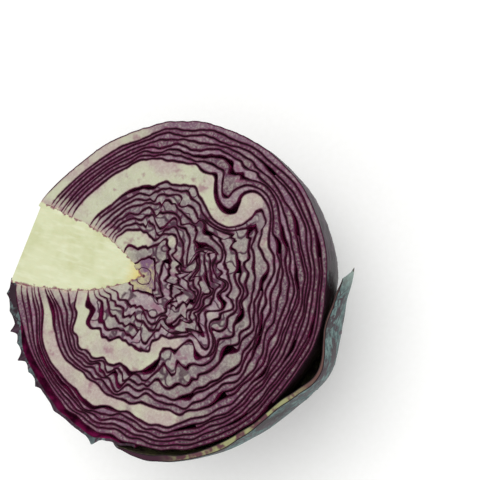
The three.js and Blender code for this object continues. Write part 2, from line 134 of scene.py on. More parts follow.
LOOSE_START = [(0, 98), (12, 84), (24, 52), (34, 0), (48, -86)]
LEAVES = [
    leaf("wrapper_loose", -1, 2.4, 187, start=LOOSE_START, closed=48),
    leaf("wrapper_torn", -1, 1.6, 104, 0.6, pockets=[(56, 12, 1)]),
    leaf("leaf_u1", 1, 1.9, 206, 5.2, (44, 112)),
    leaf("leaf_l1", -1, 1.8, 200, 1.2),
    leaf("leaf_l2", -1, 1.6, 176, 1),
    leaf("leaf_u2", 1, 1.7, 214, 0.4),
    leaf("leaf_l3", -1, 1.6, 230, 0.8, pockets=[(50, 12, 1.4)]),
    leaf("leaf_u3", 1, 1.8, 186, 0.6),
    leaf("leaf_l4", -1, 1.6, 208, pockets=[(66, 10, 1.6)]),
    leaf("leaf_u4", 1, 1.8, 232, 0.6),
    leaf("leaf_l5", -1, 1.7, 190, pockets=[(80, 10, 1.2)]),
    leaf("leaf_u5", 1, 1.7, 198, pockets=[(112, 13, 1)]),
    leaf("rib_leaf_low", -1, 2.2, 205, pockets=[(20, 12, 1.6)]),
    leaf("leaf_u6", 1, 1.6, 216),
    leaf("leaf_l6", -1, 1.7, 203),
    leaf("leaf_u7", 1, 1.6, 190, pockets=[(124, 10, 0.8)]),
    leaf("leaf_l7", -1, 1.7, 170),
    leaf("rib_leaf_high", 1, 2.4, 228, pockets=[(70, 12, 0.8)]),
    leaf("leaf_l8", -1, 1.8, 188, pockets=[(88, 9, 0.8)]),
    leaf("leaf_u8", 1, 1.9, 200),
    leaf("leaf_l9", -1, 1.8, 218),
    leaf("leaf_u9", 1, 1.9, 182),
    leaf("leaf_l10", -1, 1.8, 196, pockets=[(104, 9, 1.6)]),
    leaf("leaf_u10", 1, 1.9, 210),
    leaf("rib_leaf_wave", -1, 2.4, 224, pockets=[(34, 14, 1.8)]),
    leaf("leaf_u11", 1, 1.9, 178),
    leaf("leaf_l11", -1, 2, 216, 0.8, pockets=[(50, 14, 0.8)]),
    leaf("leaf_u12", 1, 1.8, 203),
    leaf("leaf_l12", -1, 1.9, 186),
    leaf("leaf_u13", 1, 1.8, 217),
    leaf("leaf_l13", -1, 1.9, 205),
    leaf("leaf_u14", 1, 1.8, 190),
    leaf("leaf_l14", -1, 1.9, 219),
    leaf("rib_leaf_heart", 1, 2.2, 212),
    leaf("leaf_l15", -1, 1.8, 214),
    leaf("leaf_u15", 1, 1.7, 220),
]
NAMES = [item["name"] for item in LEAVES]
print(len(LEAVES), "leaves")

# %% The four ribs: how far out each lies and how wide it is, as shares of the way from heart to rim
RIBS = [
    ("rib_leaf_low",
     [0.79, 0.79, 0.8, 0.8, 0.79, 0.79, 0.8, 0.8, 0.79, 0.77, 0.76, 0.85, 0.86, 0.82, 0.78, 0.81, 0.81, 0.8],
     [(-180, 0.05), (-160, 0.07), (-140, 0.13), (-120, 0.11), (-108, 0.13), (-97, 0.11), (-80, 0.08),
      (-64, 0.09), (-50, 0.05), (-38, 0.03), (60, 0.015)]),
    ("rib_leaf_high",
     [0.66, 0.68, 0.7, 0.66, 0.71, 0.74, 0.74, 0.73, 0.72,
      0.68, 0.62, 0.64, 0.68, 0.64, 0.61, 0.64, 0.69, 0.68],
     [(-60, 0.014), (0, 0.018), (17, 0.03), (27, 0.055), (35, 0.1), (43, 0.115), (53, 0.13), (73, 0.15),
      (100, 0.18), (140, 0.2), (180, 0.17)]),
    ("rib_leaf_wave",
     [0.44, 0.44, 0.4, 0.38, 0.4, 0.42, 0.43, 0.42, 0.41,
      0.42, 0.48, 0.54, 0.6, 0.54, 0.48, 0.42, 0.43, 0.44],
     [(-180, 0.08), (-150, 0.11), (-120, 0.16), (-100, 0.18), (-80, 0.14), (-60, 0.1), (-42, 0.06),
      (-20, 0.04), (20, 0.03), (60, 0.015)]),
    ("rib_leaf_heart",
     [0.16, 0.16, 0.16, 0.16, 0.17, 0.2, 0.25, 0.28, 0.28,
      0.22, 0.16, 0.13, 0.12, 0.12, 0.12, 0.13, 0.14, 0.15],
     [(-60, 0.02), (0, 0.03), (60, 0.05), (90, 0.08), (120, 0.13), (180, 0.12)]),
]

# %% [markdown]
# Where a leaf ends, its neighbours close up. `present` says how much of a leaf there is in a direction,
# and `layers` gives every leaf's thickness and the room inside it. The leaves that hold no rib are fitted
# into what is left between the ribs, so no two leaves can run into each other.

# %% Where each leaf is, and how thick
LEAF_GAP = 0.16
LEAST_BLADE = 0.95
RIB_BLEND_DIP = 38


def from_core(item, phi):
    a = 180 - phi if item["side"] > 0 else 180 + phi
    return np.where(a > 300, a - 360, a)


def leaf_start(item, dip):
    if item["start"]:
        return along(item["start"], dip)
    return -item["under"] * smooth(0, 8, dip)


def leaf_end(item, dip):
    if item["closed"]:
        return item["end"] + 87 * smooth(34, item["closed"], dip)
    return item["end"] + 0 * dip


def present(item, a, dip):
    soft = 1.0 if item["start"] else smooth(0, 8, dip)
    before = leaf_start(item, dip) - a - 3 * soft
    after = a - leaf_end(item, dip) - 3
    here = (1 - np.clip(before / (0.5 + 6 * soft), 0, 1)) * (1 - np.clip(after / 6, 0, 1))
    return np.where(dip > item["closed"], 1, here) if item["closed"] else here


def swell(a, k):
    t = np.radians(a)
    return 0.5 * np.sin(5 * t + 2.1 * k) + 0.35 * np.sin(9 * t + 3.7 * k) + 0.3 * np.sin(14 * t + 1.3 * k)


def layers(phi, dip):
    thick, room, least = [], [], []
    even = smooth(50, 80, dip)
    for k, item in enumerate(LEAVES):
        a = from_core(item, phi)
        here = present(item, a, dip)
        margin = 1 - 0.55 * smooth(item["end"] - 44, item["end"], a)
        rib = item["rib"] * (1 - smooth(item["fade"][0], item["fade"][1], a)) * np.exp(-((dip / 30) ** 2))
        full = (item["blade"] * (1 + 0.24 * swell(a, k)) * margin + rib) * here
        gap = LEAF_GAP + 0 * a
        for at, width, size in item["pockets"]:
            gap = gap + size * np.exp(-(((a - at) / width) ** 2)) * (1 - smooth(0, 34, dip))
        thick.append(full + (item["blade"] - full) * even)
        room.append(gap * here + (LEAF_GAP - gap * here) * even)
        least.append(LEAST_BLADE * (here + (1 - here) * even))
    return np.array(thick), np.array(room), np.array(least)


def shares(phi, dip):
    thick, room, least = layers(phi, dip)
    way = head_radius(phi, dip) - HEART_RADIUS
    both = thick + room
    even = smooth(0, RIB_BLEND_DIP, dip)
    out = np.zeros((len(LEAVES), 2) + phi.shape)
    top, first, above = np.ones(phi.shape), 0, np.zeros(phi.shape)

    def fill(last, bottom):
        run = slice(first, last)
        scale = np.minimum(1 / way, 0.7 * (top - bottom) / np.maximum(least[run].sum(0), 1e-6))
        fit = (top - bottom) / (above + both[run].sum(0))
        for _ in range(12):
            taken = np.maximum(thick[run] * fit, least[run] * scale).sum(0) + (room[run].sum(0) + above) * fit
            fit = fit * (top - bottom) / taken
        at = top - above * fit
        for k in range(first, last):
            out[k, 0] = at
            out[k, 1] = at - np.maximum(thick[k] * fit, least[k] * scale)
            at = out[k, 1] - room[k] * fit

    for name, outers, widths in RIBS:
        k = NAMES.index(name)
        here = present(LEAVES[k], from_core(LEAVES[k], phi), dip)
        even_outer = 1 - both[:k].sum(0) / both.sum(0)
        outer = closed_curve(outers, phi) * (1 - even) + even_outer * even
        width = along(widths, phi) * here * (1 - even) + thick[k] / both.sum(0) * even
        fill(k, outer)
        out[k, 0], out[k, 1] = outer, outer - width
        top, first, above = outer - width, k + 1, room[k]
    fill(len(LEAVES), 0 * phi)
    return out


# %% [markdown]
# The leaves open round the core: directions near the core's axis are pushed aside until they pass its
# skin. In this drawing they end a little inside the core, because a leaf and the core are one flesh.

# %% Letting the core through
CORE_LENGTH = 64.4
CORE_PROFILE = [
    (0, 0), (6, 4.2), (11, 7.2), (17, 10), (23, 12.8), (36, 16.4), (50, 18.2), (57, 19.9),
    (CORE_LENGTH, 20.2),
]
INTO_CORE = 2.2
OPENING = 60


def core_radius(back):
    return along(CORE_PROFILE, back)


def core_angles(radii):
    low, high = np.zeros_like(radii), np.full_like(radii, 90.0)
    for _ in range(30):
        mid = (low + high) / 2
        inside = radii * np.sin(np.radians(mid)) < core_radius(radii * np.cos(np.radians(mid)))
        low, high = np.where(inside, mid, low), np.where(inside, high, mid)
    return high


RADII = np.linspace(0.3, 120, 600)
SKIN_ANGLES = core_angles(RADII)
SUNK_ANGLES = np.maximum(SKIN_ANGLES - np.degrees(INTO_CORE / RADII), 0.2 * SKIN_ANGLES)


def direction(phi, dip, beta, radius, angles):
    c = np.interp(radius, RADII, angles)
    level = np.cos(np.radians(dip))
    backward, across = -level * np.cos(np.radians(phi)), level * np.sin(np.radians(phi))
    down = np.sin(np.radians(dip))
    angle = np.degrees(np.arctan2(np.hypot(across, down), backward))
    side = np.where(angle < OPENING, c + angle * (OPENING - c) / OPENING, angle)
    b = np.degrees(np.arctan2(down, across))
    on_skin = ~np.isnan(beta)
    side, b = np.radians(np.where(on_skin, c, side)), np.radians(np.where(on_skin, beta, b))
    x, y, z = -np.cos(side), np.sin(side) * np.cos(b), np.sin(side) * np.sin(b)
    turned, dipped = np.degrees(np.arctan2(y, x)), np.degrees(np.arctan2(z, np.hypot(x, y)))
    on_cut = (dip == 0) & (~on_skin | (np.abs(np.nan_to_num(beta) - 90) > 89.9))
    return np.where(dip == 90, 0, turned), np.where(dip == 90, 90, np.where(on_cut, 0, dipped))


print("core is", round(2 * core_radius(CORE_LENGTH), 1), "mm across at its base")

# %% [markdown]
# ## Folds
#
# Tightly packed leaves buckle together. Every fold here turns all the leaves about one point of the cut
# face, most at the point and not at all a short way off, so neighbours keep their order. Ripples run round
# the head, waves crumple the inner leaves, and the whole leans a little as it gets deeper.

# %% Bending the leaves together
# Ripples: mm, waves round the head, turn per mm, phase. Folds: x, y, reach, turn in degrees
RIPPLES = [
    (1, 9, 0.16, 1), (0.6, 15, -0.3, 2.2), (0.5, 25, 0.4, 0.9), (0.32, 37, 0.8, 0.5), (0.16, 57, -1.1, 2.6),
]
GREAT_FOLDS = [
    (37.5, 42.5, 20.5, 104), (13.5, -32, 13, 42), (33.5, -26, 14, -72), (32, 15, 11, -55), (24, 2, 9, 55),
    (17, -16, 9, -36), (4, 30, 9, 45),
]
HEART_FOLDS = [
    (11, 12, 14, -50), (14, -5, 12, 44), (6, -14, 10, -38), (23, 12, 11, 34), (3, 22, 10, 32),
    (25, -8, 10, -34),
]
SMALL_FOLDS = [
    (-3, 35.2, 4.2, 62), (7.5, 36.7, 4.8, -75), (19.2, 30.1, 4.5, 48), (7.3, 18.8, 5, -55),
    (-3.4, 22.8, 4, 50), (32.4, 14.8, 6, -50), (38.8, 22, 5, 55), (26.5, 2.7, 6, 55),
    (39.2, 3.7, 6, -62), (16.7, 8.1, 4.6, -45), (12.8, -4.2, 4, 40), (-6.3, -18.7, 4.4, -55),
    (4.2, -18.6, 4, 50), (16.2, -15.4, 5, -50), (28, -12.2, 5, 58), (40.5, -12, 5.6, -60),
    (-8, -47.5, 3.6, 55), (2.6, -47.2, 3.4, -55), (13.2, -47.4, 3.4, 50), (24.1, -41, 4.4, -60),
    (35.3, -39.5, 4.6, 50), (-18.1, -40.9, 2.4, -36), (49.3, 36, 4, -45), (46.7, 18.5, 5, -48),
]
FOLD_DEPTH = 1.5
LEAN = 12

# Waves of the inner leaves: mm, waves round the head, turn per mm, phase, between which radii
WAVES = [
    (1.1, 7, 0.24, 0.4, 7, 19), (1.7, 12, 0.22, 1.1, 17, 31), (0.5, 21, -0.34, 0.3, 17, 31),
    (1.8, 18, 0.18, 2.4, 30, 45), (0.6, 31, -0.28, 1.7, 30, 45), (1.5, 27, 0.18, 0.9, 44, 62),
    (0.5, 43, -0.26, 3, 44, 62),
]
# How far out they reach, as a share of the head's radius, round the head
WAVE_LIMIT = [(-180, 0.6), (-70, 0.74), (-30, 0.66), (10, 0.6), (30, 0.5), (60, 0.47), (180, 0.46)]


def inner_waves(phi, full, level):
    turned = np.degrees(phi)
    limit = along(WAVE_LIMIT, turned)
    share = level / closed_curve(HEAD_RADII, turned)
    inside = 1 - smooth(limit - 0.1, limit + 0.05, share)
    push = 0
    for size, waves, turn, phase, near, far in WAVES:
        window = smooth(near - 3, near + 3, full) * (1 - smooth(far - 3, far + 3, full))
        uneven = 0.7 + 0.5 * np.sin(3 * phi + 0.11 * full + phase * 2)
        spread = 1.5 * np.sin(4 * phi + 0.09 * full + phase * 3)
        push = push + size * window * uneven * np.sin(waves * phi + turn * full + phase + spread)
    return push * inside * smooth(0, 26, 152 - np.abs(turned))


def bend(x, y, z):
    level = np.maximum(np.hypot(x, y), 1e-3)
    phi = np.arctan2(y, x)
    dip = np.degrees(np.arctan2(-z, level))
    full = np.hypot(level, z)
    clear = smooth(0, 40, 130 - np.abs(np.degrees(phi))) * np.clip((full - 8) / 14, 0, 1)
    calm = np.clip((88 - full) / 24, 0.2, 1) * (1 - smooth(0, 40, dip))
    push = sum(size * np.sin(waves * phi + turn * full + phase) for size, waves, turn, phase in RIPPLES)
    push = push * clear * calm + inner_waves(phi, full, level) * (1 - smooth(0, 40, dip))
    x, y = x * (1 + push / level), y * (1 + push / level)
    for cx, cy, reach, turn in GREAT_FOLDS + HEART_FOLDS + SMALL_FOLDS:
        dx, dy = x - cx, y - cy
        far = (dx * dx + dy * dy + z * z / FOLD_DEPTH**2) / reach**2
        angle = np.radians(turn) * np.clip(1 - far, 0, 1) ** 2
        x, y = cx + dx * np.cos(angle) - dy * np.sin(angle), cy + dx * np.sin(angle) + dy * np.cos(angle)
    return np.stack([x + LEAN * np.maximum(-z / HEAD_DEPTH, 0) ** 1.5, y, z], -1)


print(len(GREAT_FOLDS + HEART_FOLDS + SMALL_FOLDS), "folds,", len(RIPPLES), "ripples,", len(WAVES), "waves")


def spot(radius, phi, dip):
    level = radius * np.cos(np.radians(dip))
    return level * np.cos(np.radians(phi)), level * np.sin(np.radians(phi)), -radius * np.sin(np.radians(dip))


# The loose wrapper stands off the head: a hollow at its rim and a bulge below it.
# Each: mm, where round the head and how wide, at what dip and how far
SWELLINGS = [(6, -12, 9, 0, 16), (3.5, -14, 38, 18, 12), (2.3, -66, 22, 4, 12)]


def standoff(phi, dip):
    return sum(reach * np.exp(-(((phi - at) / width) ** 2) - ((dip - deep) / over) ** 2)
               for reach, at, width, deep, over in SWELLINGS)


def leaf_face(k, face, phi, dip, beta, share, lift=0.0):
    radius = np.full(phi.shape, 60.0)
    for _ in range(6):
        turned, dipped = direction(phi, dip, beta, radius, SUNK_ANGLES)
        radius = HEART_RADIUS + (head_radius(turned, dipped) - HEART_RADIUS) * share[k, face]
        radius = radius + (standoff(turned, dipped) if k == 0 else 0)
    radius = radius + lift
    skin = np.interp(radius, RADII, SKIN_ANGLES)
    backward = -np.cos(np.radians(dipped)) * np.cos(np.radians(turned))
    from_skin = (np.degrees(np.arccos(np.clip(backward, -1, 1))) - skin) * np.radians(1) * radius
    return bend(*spot(radius, turned, dipped)), from_skin


# %% [markdown]
# ## Turning points into a mesh
#
# A leaf is a grid: columns go round the head from the core to the free margin and rows go down from the
# cut. The outer face and the inner face share the grid, a strip with a few points across joins them along
# the cut, and plain walls close the other edges. Each point also keeps what the finish needs: how far
# across the leaf it is, how thick the leaf is there, how far it is from the core.

# %% Mesh from points
def make_mesh(name, points, faces, kinds, facts, materials):
    mesh = bpy.data.meshes.new(name)
    corners = [tuple(corner) for corner in (np.asarray(points) + TIP) * MM]
    mesh.from_pydata(corners, [], [tuple(int(i) for i in face) for face in faces])
    for key, values in facts.items():
        attribute = mesh.attributes.new(key, "FLOAT", "POINT")
        attribute.data.foreach_set("value", np.asarray(values, np.float32).ravel())
    for material in materials:
        mesh.materials.append(material)
    mesh.polygons.foreach_set("material_index", np.asarray(kinds, np.int32))
    mesh.polygons.foreach_set("use_smooth", np.ones(len(mesh.polygons), bool))
    mesh.update()
    mesh.validate()
    mesh.set_sharp_from_angle(angle=math.radians(48))
    piece = bpy.data.objects.new(name, mesh)
    bpy.context.collection.objects.link(piece)
    return piece


def quads(ids, flip=False):
    a, b, c, d = ids[:-1, :-1].ravel(), ids[:-1, 1:].ravel(), ids[1:, 1:].ravel(), ids[1:, :-1].ravel()
    return np.stack([a, d, c, b] if flip else [a, b, c, d], -1)


# %% One leaf as a closed sheet
ROWS = [0, 0.8, 2.4, 5, 9, 14, 21, 30, 42, 56, 70, 82, 90]
ACROSS = [0, 0.12, 0.3, 0.5, 0.7, 0.88, 1]
ATTACHED_DIP = 24
TORN_TIP = 10
# The loose wrapper closes to a full cup low on the back. Its margin runs even over these degrees above
# that, so that the two edges meet without a slit
SEAM_BLEND = 10


def wander(x, seed, waves=(3, 7, 13)):
    phases = np.random.default_rng(seed).uniform(0, 2 * math.pi, len(waves))
    return sum(np.sin(w * x + p) / (1 + i) for i, (w, p) in enumerate(zip(waves, phases))) / 1.8


def grid_of(item, rows, columns):
    dips = np.array(rows, float)[:, None]
    t = np.linspace(0, 1, columns)[None, :]
    attached = (dips < ATTACHED_DIP) & (item["start"] is None)
    start = np.where(attached, 0.0, leaf_start(item, dips))
    margin = 1.6 * wander(np.radians(dips), item["end"]) * smooth(0, 12, dips)
    if item["closed"]:
        margin = 1.6 * margin + TORN_TIP * np.exp(-(((dips - 8) / 13) ** 2))
        margin = margin * smooth(item["closed"], item["closed"] - SEAM_BLEND, dips)
    a = start + (leaf_end(item, dips) + margin - start) * t
    angle = 90 * (dips / ATTACHED_DIP) ** 0.75
    slope = np.tan(np.radians(np.minimum(angle, 89)))
    settled = dips * (1 - np.exp(-np.maximum(a, 0) * slope / np.maximum(dips, 0.01)))
    dip = np.where(attached, settled, dips + 0 * a)
    phi = np.where(item["side"] > 0, 180 - a, a - 180)
    side_angle = angle if item["side"] > 0 else 180 - angle
    beta = np.where(attached & (t == 0), side_angle, np.nan)
    return a, phi, dip, beta


def true_thickness(outer, inner):
    tangent = np.gradient((outer + inner) / 2, axis=1)
    tangent /= np.maximum(np.linalg.norm(tangent, axis=-1, keepdims=True), 1e-6)
    return np.linalg.norm(np.cross(inner - outer, tangent), axis=-1)


def build_sheet(name, item, a, outer, inner, from_skin, more, seed, materials, closed_from=None):
    side = item["side"]
    thick = true_thickness(outer, inner)
    rows, columns = a.shape
    level = wander(np.radians(a[0]) * 2, seed) * 0.16 + np.random.default_rng(seed).uniform(-0.2, 0.12)
    away = smooth(-0.4, 3, from_skin[0])
    top = -0.3 * (1 - away) + level * away * np.clip(np.linalg.norm(outer[0], axis=-1) / 40, 0.3, 1)
    strip, across = [], []
    for t in ACROSS:
        line = outer[0] + (inner[0] - outer[0]) * t
        drop = 0.13 * (2 * t - 1) ** 4 * away
        line[:, 2] += top - drop
        strip.append(line)
        across.append(np.full(columns, t))
    outer[0], inner[0] = strip[0], strip[-1]
    strip, across = np.array(strip[1:-1]), np.array(across[1:-1])
    n = rows * columns
    points = np.concatenate([outer.reshape(-1, 3), inner.reshape(-1, 3), strip.reshape(-1, 3)])
    ids_out = np.arange(n).reshape(rows, columns)
    ids_in = ids_out + n
    ids_mid = 2 * n + np.arange(strip.shape[0] * columns).reshape(-1, columns)
    ids_top = np.concatenate([ids_out[:1], ids_mid, ids_in[:1]])
    end_rows = np.array([ids_out[:, -1], ids_in[:, -1]])
    start_rows = np.array([ids_out[:, 0], ids_in[:, 0]])
    if closed_from is not None:
        end_rows, start_rows = end_rows[:, :closed_from], start_rows[:, :closed_from]
    parts = [
        (quads(ids_out, side < 0), 0), (quads(ids_in, side > 0), 1), (quads(ids_top, side > 0), 2),
        (quads(end_rows, side < 0), 3), (quads(start_rows, side > 0), 3),
    ]
    faces = np.concatenate([faces for faces, _ in parts])
    kinds = np.concatenate([np.full(len(faces), kind) for faces, kind in parts])

    def spread(values):
        values = np.broadcast_to(values, a.shape)
        return np.concatenate([values.ravel(), values.ravel(), np.tile(values[0], strip.shape[0])])

    facts = {"across": np.concatenate([np.zeros(n), np.ones(n), across.ravel()]),
             "thick": spread(thick), "core_mm": spread(from_skin), "around": spread(a / 180),
             "leaf_tone": spread(np.random.default_rng(seed + 40).uniform(0, 1))}
    facts.update({key: spread(values) for key, values in more.items()})
    return make_mesh(name, points, faces, kinds, facts, materials)


# %% [markdown]
# ## Finishes
#
# A finish is a small tree of nodes. One function adds a node with its settings and links, and hands back
# the output that the next node needs. The dictionaries hold what all nodes of a kind have in common.
# A colour mix takes the share of its second colour and then both colours. A ramp takes a value, where it
# starts and ends, and what it gives there, 0 and 1 unless given. Another function turns the hex value of a
# screen colour into the linear colour that a shader works with. A new material starts with the facts that
# the mesh carries and with noise patterns, each with its size in millimetres and its detail.

# %% Colours and nodes
# Millimetres in a metre: the patterns' sizes are given in millimetres
METRE = 1000
GRAIN = {"Roughness": 0.55}
FACT = {"kind": "ShaderNodeAttribute", "output": "Fac"}
MATH = {"kind": "ShaderNodeMath"}
PLUS = {"kind": "ShaderNodeMath", "operation": "ADD"}
TIMES = {"kind": "ShaderNodeMath", "operation": "MULTIPLY"}
MIX = {"kind": "ShaderNodeMix", "sockets": (0, 6, 7), "output": 2, "data_type": "RGBA"}
RAMP = {"kind": "ShaderNodeMapRange", "interpolation_type": "SMOOTHSTEP"}
NOISE = {"kind": "ShaderNodeTexNoise"}
CELLS = {"kind": "ShaderNodeTexVoronoi"}


def colour(hexa):
    values = [int(hexa[i:i + 2], 16) / 255 for i in (1, 3, 5)]
    return tuple(v / 12.92 if v <= 0.04045 else ((v + 0.055) / 1.055) ** 2.4 for v in values) + (1.0,)


def add(tree, inputs=(), kind="", sockets=range(5), output=0, **settings):
    node = tree.nodes.new(kind)
    for key, value in settings.items():
        setattr(node, key, value)
    pairs = inputs.items() if isinstance(inputs, dict) else zip(sockets, inputs)
    for key, value in pairs:
        if isinstance(value, bpy.types.NodeSocket):
            tree.links.new(value, node.inputs[key])
        else:
            node.inputs[key].default_value = value
    return node.outputs[output] if len(node.outputs) else node


def new_material(name, facts=(), patterns=()):
    material = bpy.data.materials.new(name)
    material.use_nodes = True
    tree = material.node_tree
    tree.nodes.clear()
    place = add(tree, kind="ShaderNodeTexCoord", output="Object")
    known = {key: add(tree, attribute_name=key, **FACT) for key in facts}
    for key, mm, detail in patterns:
        known[key] = add(tree, {"Vector": place, "Scale": METRE / mm, "Detail": detail, **GRAIN}, **NOISE)
    known["place"] = place
    print("material", name)
    return material, tree, known


# %% [markdown]
# Wet plant tissue has an IOR near 1.4 and scatters a little light under its surface, most of it red. All
# the finishes end in the same shader, which takes a colour, a roughness and a fine relief.

# %% The shader that every finish ends in
WET_IOR = 1.4
SCATTER_DEPTH = 1.2 * MM
SCATTER_SHARES = (1.0, 0.6, 0.5)


def finish(tree, base, roughness, bump, strength, distance, gloss, soft=0.0):
    relief = add(tree, {"Strength": strength, "Distance": distance, "Height": bump},
                 kind="ShaderNodeBump")
    shader = add(tree, {
        "Base Color": base, "Roughness": roughness, "Normal": relief, "IOR": WET_IOR,
        "Specular IOR Level": gloss, "Subsurface Weight": soft, "Subsurface Scale": SCATTER_DEPTH,
        "Subsurface Radius": SCATTER_SHARES,
    }, kind="ShaderNodeBsdfPrincipled")
    add(tree, {"Surface": shader}, kind="ShaderNodeOutputMaterial")
    print("  nodes:", len(tree.nodes))


# Millimetres in from the nearer skin, across a cut strip
def depth_from_skin(tree):
    across = add(tree, attribute_name="across", **FACT)
    thick = add(tree, attribute_name="thick", **FACT)
    rest = add(tree, [1.0, across], operation="SUBTRACT", **MATH)
    near = add(tree, [across, rest], operation="MINIMUM", **MATH)
    return add(tree, [near, thick], **TIMES)


# %% [markdown]
# The cut flesh of a leaf is dark purple at both skins, flushed magenta just inside them, and mauve-grey to
# cream in the middle: the thicker the leaf, the paler. Some leaves are lighter than others, those near the
# rim are stained darker, and thin dark wrinkles wander over the inner ones. Near the core the strip turns
# into the core's own cream. The fibres are about 1 mm wide, the blotches 5 to 16 mm. The pale fibre
# flecks are partly painted highlights: besides the fibres they stand in for small wet glints on the flesh.

# %% Cut flesh of the leaves: its facts and patterns
CREAM = colour("#BFC3A0")
FRINGE = colour("#70304A")
SKIN = colour("#210410")
cut_flesh, tree, known = new_material(
    "cut_leaf_flesh", ["stain", "pale", "leaf_tone", "dark", "inner", "core_mm"],
    [("skin", 1.6, 3.0), ("blotch", 9.0, 4.0), ("fibre", 1.1, 2.0), ("rib", 16.0, 3.0),
     ("flush", 5.0, 2.0), ("joint", 2.5, 3.0), ("wrinkle", 8.0, 1.5)])

# %% Cut flesh: the plain flesh between the skins
patchy = add(tree, [known["blotch"], 0.35, 0.65, -0.22, 0.22], **RAMP)
stain = add(tree, [known["stain"], patchy], **PLUS)
plain = add(tree, [stain, colour("#7E7577"), colour("#58364A")], **MIX)
lighter = add(tree, [known["leaf_tone"], 0.5, 1.0, 0.0, 0.5], **RAMP)
deeper = add(tree, [known["leaf_tone"], 0.5, 0.0, 0.0, 0.4], **RAMP)
shaded = add(tree, [known["dark"], 0.8], **TIMES)
for share_of, tint in [(lighter, "#937A8A"), (deeper, "#42203A"), (shaded, "#2B1A24")]:
    plain = add(tree, [share_of, plain, colour(tint)], **MIX)

# %% Cut flesh: pale ribs, fibres with painted wet glints, flushes and wrinkles
rib_patch = add(tree, [known["rib"], 0.38, 0.62], **RAMP)
rib_colour = add(tree, [rib_patch, colour("#B2B49A"), colour("#A5958F")], **MIX)
uneven = add(tree, [known["blotch"], 0.3, 0.7, 0.12, -0.16], **RAMP)
pale = add(tree, [known["pale"], uneven], **PLUS)
flesh = add(tree, [pale, plain, rib_colour], **MIX)
# Pale fibre flecks, partly painted highlights that stand in for small wet glints on the flesh
fibre_flecks_and_glints = add(tree, [known["fibre"], 0.4, 0.72, 0.0, 0.32], **RAMP)
flushes = add(tree, [known["flush"], 0.56, 0.74, 0.0, 0.5], **RAMP)
middle = add(tree, [known["wrinkle"], 0.5], operation="SUBTRACT", **MATH)
middle = add(tree, [middle], operation="ABSOLUTE", **MATH)
line = add(tree, [middle, 0.05, 0.015], **RAMP)
inner_leaves = add(tree, [known["inner"], 0.3, 0.7], **RAMP)
wrinkles = add(tree, [line, inner_leaves], **TIMES)
wrinkles = add(tree, [wrinkles, 0.85], **TIMES)
# The pale fibre flecks mixed in here are partly painted wet highlights
for share_of, tint in [(fibre_flecks_and_glints, "#C2BFB2"), (flushes, "#7A2A58"), (wrinkles, "#36102A")]:
    flesh = add(tree, [share_of, flesh, colour(tint)], **MIX)

# %% Cut flesh: the dark skins, and the join with the core
ragged = add(tree, [known["skin"], 0.3, 0.7, -0.07, 0.09], **RAMP)
edge = add(tree, [depth_from_skin(tree), ragged], **PLUS)
ragged_join = add(tree, [known["joint"], 0.3, 0.7, -1.1, 1.1], **RAMP)
core_mm = add(tree, [known["core_mm"], ragged_join], **PLUS)
thinner_skin = add(tree, [core_mm, 9.0, 0.5, 0.0, 0.42], **RAMP)
edge = add(tree, [edge, thinner_skin], **PLUS)
past_flush = add(tree, [edge, 0.3, 1.05], **RAMP)
flushed = add(tree, [past_flush, colour("#5A1D40"), flesh], **MIX)
past_skin = add(tree, [edge, 0.22, 0.54], **RAMP)
strip_colour = add(tree, [past_skin, SKIN, flushed], **MIX)
past_core = add(tree, [core_mm, -1.0, 0.3], **RAMP)
joined = add(tree, [past_core, CREAM, colour("#B09890")], **MIX)
past_join = add(tree, [core_mm, -0.4, 1.6], **RAMP)
strip_colour = add(tree, [past_join, joined, strip_colour], **MIX)
sheen = add(tree, [known["fibre"], 0.3, 0.7, 0.34, 0.5], **RAMP)
finish(tree, strip_colour, sheen, known["fibre"], 0.35, 0.4 * MM, 0.12, soft=0.03)

# %% [markdown]
# The heart's little leaves have grown in the dark: yellowish, with a mauve flush and a thin skin.

# %% Flesh of the heart
heart_flesh, tree, known = new_material("young_heart_flesh", (), [("flush", 5.0, 3.0), ("fibre", 1.1, 2.0)])
patchy = add(tree, [known["flush"], 0.4, 0.6], **RAMP)
young = add(tree, [patchy, colour("#A8A07C"), colour("#6E5068")], **MIX)
past_skin = add(tree, [depth_from_skin(tree), 0.0, 0.3], **RAMP)
young = add(tree, [past_skin, colour("#6A3F58"), young], **MIX)
finish(tree, young, 0.42, known["fibre"], 0.3, 0.4 * MM, 0.2, soft=0.1)

# %% [markdown]
# Between the leaves the skin shows: smooth, waxy and deep purple, lighter and more magenta in patches.

# %% Purple skin of the inner leaves
leaf_skin, tree, known = new_material("purple_leaf_skin", (), [("patch", 6.0, 3.0), ("crinkle", 2.2, 3.0)])
patchy = add(tree, [known["patch"], 0.35, 0.65], **RAMP)
purple = add(tree, [patchy, colour("#3C0C26"), colour("#8A1C56")], **MIX)
finish(tree, purple, 0.4, known["crinkle"], 0.3, 0.6 * MM, 0.2)

# %% [markdown]
# The outermost leaves are nearly black purple under a matte blue-grey bloom of wax. Handling rubs the
# bloom off in patches and cracks it into flakes 8 to 9 mm wide, and it is missing along the veins, which
# stand proud of the leaf. Two cell patterns, bent by a noise so that no edge is straight, make the flakes.

